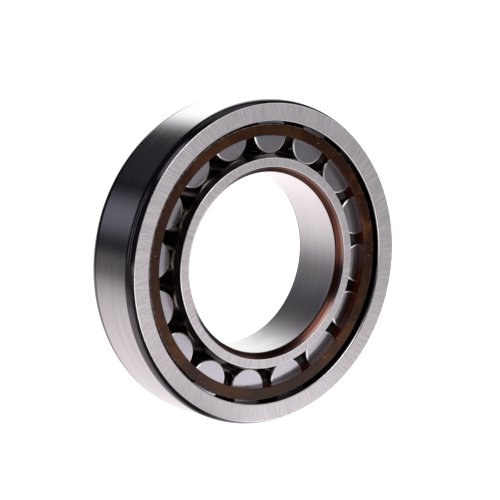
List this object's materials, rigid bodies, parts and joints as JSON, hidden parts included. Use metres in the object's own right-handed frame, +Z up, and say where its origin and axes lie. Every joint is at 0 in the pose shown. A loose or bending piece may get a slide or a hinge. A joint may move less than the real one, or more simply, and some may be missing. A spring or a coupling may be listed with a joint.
{
  "type": "cylindrical roller bearing",
  "caption": "Cylindrical roller bearing with a flanged outer ring, a plain removable inner ring and a moulded window cage around its rollers.",
  "frame": {"origin": "centre of the bearing, on its axis and midway between its two sides", "axes": "Y along the bearing axis with the front side facing -Y, +Z up with the bearing standing on its rim as it does in a horizontal-shaft housing, +X to the right seen from the front"},
  "size_m": [0.09, 0.02, 0.09],
  "materials": {
    "outer_ring_steel": "satin",
    "inner_ring_steel": "satin",
    "roller_steel": "gloss",
    "cage_polymer": "satin"
  },
  "bodies": {
    "outer_ring": {"outer_ring": "outer_ring_steel"},
    "inner_ring": {"inner_ring": "inner_ring_steel"},
    "cage": {"cage": "cage_polymer"},
    "roller_01": {"roller_01": "roller_steel"},
    "roller_02": {"roller_02": "roller_steel"},
    "roller_03": {"roller_03": "roller_steel"},
    "roller_04": {"roller_04": "roller_steel"},
    "roller_05": {"roller_05": "roller_steel"},
    "roller_06": {"roller_06": "roller_steel"},
    "roller_07": {"roller_07": "roller_steel"},
    "roller_08": {"roller_08": "roller_steel"},
    "roller_09": {"roller_09": "roller_steel"},
    "roller_10": {"roller_10": "roller_steel"},
    "roller_11": {"roller_11": "roller_steel"},
    "roller_12": {"roller_12": "roller_steel"},
    "roller_13": {"roller_13": "roller_steel"},
    "roller_14": {"roller_14": "roller_steel"},
    "roller_15": {"roller_15": "roller_steel"},
    "roller_16": {"roller_16": "roller_steel"}
  },
  "joints": [
    {"name": "inner_ring_spin", "type": "hinge", "parent": "outer_ring", "child": "inner_ring", "pos_m": [0, 0, 0], "axis": [0, -1, 0], "continuous": true},
    {"name": "cage_orbit", "type": "hinge", "parent": "outer_ring", "child": "cage", "pos_m": [0, 0, 0], "axis": [0, -1, 0], "continuous": true},
    {"name": "roller_01_spin", "type": "hinge", "parent": "cage", "child": "roller_01", "pos_m": [0.0339, 0, 0.00972], "axis": [0, -1, 0], "continuous": true},
    {"name": "roller_02_spin", "type": "hinge", "parent": "cage", "child": "roller_02", "pos_m": [0.0276, 0, 0.02195], "axis": [0, -1, 0], "continuous": true},
    {"name": "roller_03_spin", "type": "hinge", "parent": "cage", "child": "roller_03", "pos_m": [0.0171, 0, 0.03084], "axis": [0, -1, 0], "continuous": true},
    {"name": "roller_04_spin", "type": "hinge", "parent": "cage", "child": "roller_04", "pos_m": [0.00399, 0, 0.03504], "axis": [0, -1, 0], "continuous": true},
    {"name": "roller_05_spin", "type": "hinge", "parent": "cage", "child": "roller_05", "pos_m": [-0.00972, 0, 0.0339], "axis": [0, -1, 0], "continuous": true},
    {"name": "roller_06_spin", "type": "hinge", "parent": "cage", "child": "roller_06", "pos_m": [-0.02195, 0, 0.0276], "axis": [0, -1, 0], "continuous": true},
    {"name": "roller_07_spin", "type": "hinge", "parent": "cage", "child": "roller_07", "pos_m": [-0.03084, 0, 0.0171], "axis": [0, -1, 0], "continuous": true},
    {"name": "roller_08_spin", "type": "hinge", "parent": "cage", "child": "roller_08", "pos_m": [-0.03504, 0, 0.00399], "axis": [0, -1, 0], "continuous": true},
    {"name": "roller_09_spin", "type": "hinge", "parent": "cage", "child": "roller_09", "pos_m": [-0.0339, 0, -0.00972], "axis": [0, -1, 0], "continuous": true},
    {"name": "roller_10_spin", "type": "hinge", "parent": "cage", "child": "roller_10", "pos_m": [-0.0276, 0, -0.02195], "axis": [0, -1, 0], "continuous": true},
    {"name": "roller_11_spin", "type": "hinge", "parent": "cage", "child": "roller_11", "pos_m": [-0.0171, 0, -0.03084], "axis": [0, -1, 0], "continuous": true},
    {"name": "roller_12_spin", "type": "hinge", "parent": "cage", "child": "roller_12", "pos_m": [-0.00399, 0, -0.03504], "axis": [0, -1, 0], "continuous": true},
    {"name": "roller_13_spin", "type": "hinge", "parent": "cage", "child": "roller_13", "pos_m": [0.00972, 0, -0.0339], "axis": [0, -1, 0], "continuous": true},
    {"name": "roller_14_spin", "type": "hinge", "parent": "cage", "child": "roller_14", "pos_m": [0.02195, 0, -0.0276], "axis": [0, -1, 0], "continuous": true},
    {"name": "roller_15_spin", "type": "hinge", "parent": "cage", "child": "roller_15", "pos_m": [0.03084, 0, -0.0171], "axis": [0, -1, 0], "continuous": true},
    {"name": "roller_16_spin", "type": "hinge", "parent": "cage", "child": "roller_16", "pos_m": [0.03504, 0, -0.00399], "axis": [0, -1, 0], "continuous": true}
  ],
  "couplings": [
    {"joint": "cage_orbit", "follows": "inner_ring_spin", "ratio": 0.42184},
    {"joint": "roller_01_spin", "follows": "inner_ring_spin", "ratio": -3.1273},
    {"joint": "roller_02_spin", "follows": "inner_ring_spin", "ratio": -3.1273},
    {"joint": "roller_03_spin", "follows": "inner_ring_spin", "ratio": -3.1273},
    {"joint": "roller_04_spin", "follows": "inner_ring_spin", "ratio": -3.1273},
    {"joint": "roller_05_spin", "follows": "inner_ring_spin", "ratio": -3.1273},
    {"joint": "roller_06_spin", "follows": "inner_ring_spin", "ratio": -3.1273},
    {"joint": "roller_07_spin", "follows": "inner_ring_spin", "ratio": -3.1273},
    {"joint": "roller_08_spin", "follows": "inner_ring_spin", "ratio": -3.1273},
    {"joint": "roller_09_spin", "follows": "inner_ring_spin", "ratio": -3.1273},
    {"joint": "roller_10_spin", "follows": "inner_ring_spin", "ratio": -3.1273},
    {"joint": "roller_11_spin", "follows": "inner_ring_spin", "ratio": -3.1273},
    {"joint": "roller_12_spin", "follows": "inner_ring_spin", "ratio": -3.1273},
    {"joint": "roller_13_spin", "follows": "inner_ring_spin", "ratio": -3.1273},
    {"joint": "roller_14_spin", "follows": "inner_ring_spin", "ratio": -3.1273},
    {"joint": "roller_15_spin", "follows": "inner_ring_spin", "ratio": -3.1273},
    {"joint": "roller_16_spin", "follows": "inner_ring_spin", "ratio": -3.1273}
  ]
}
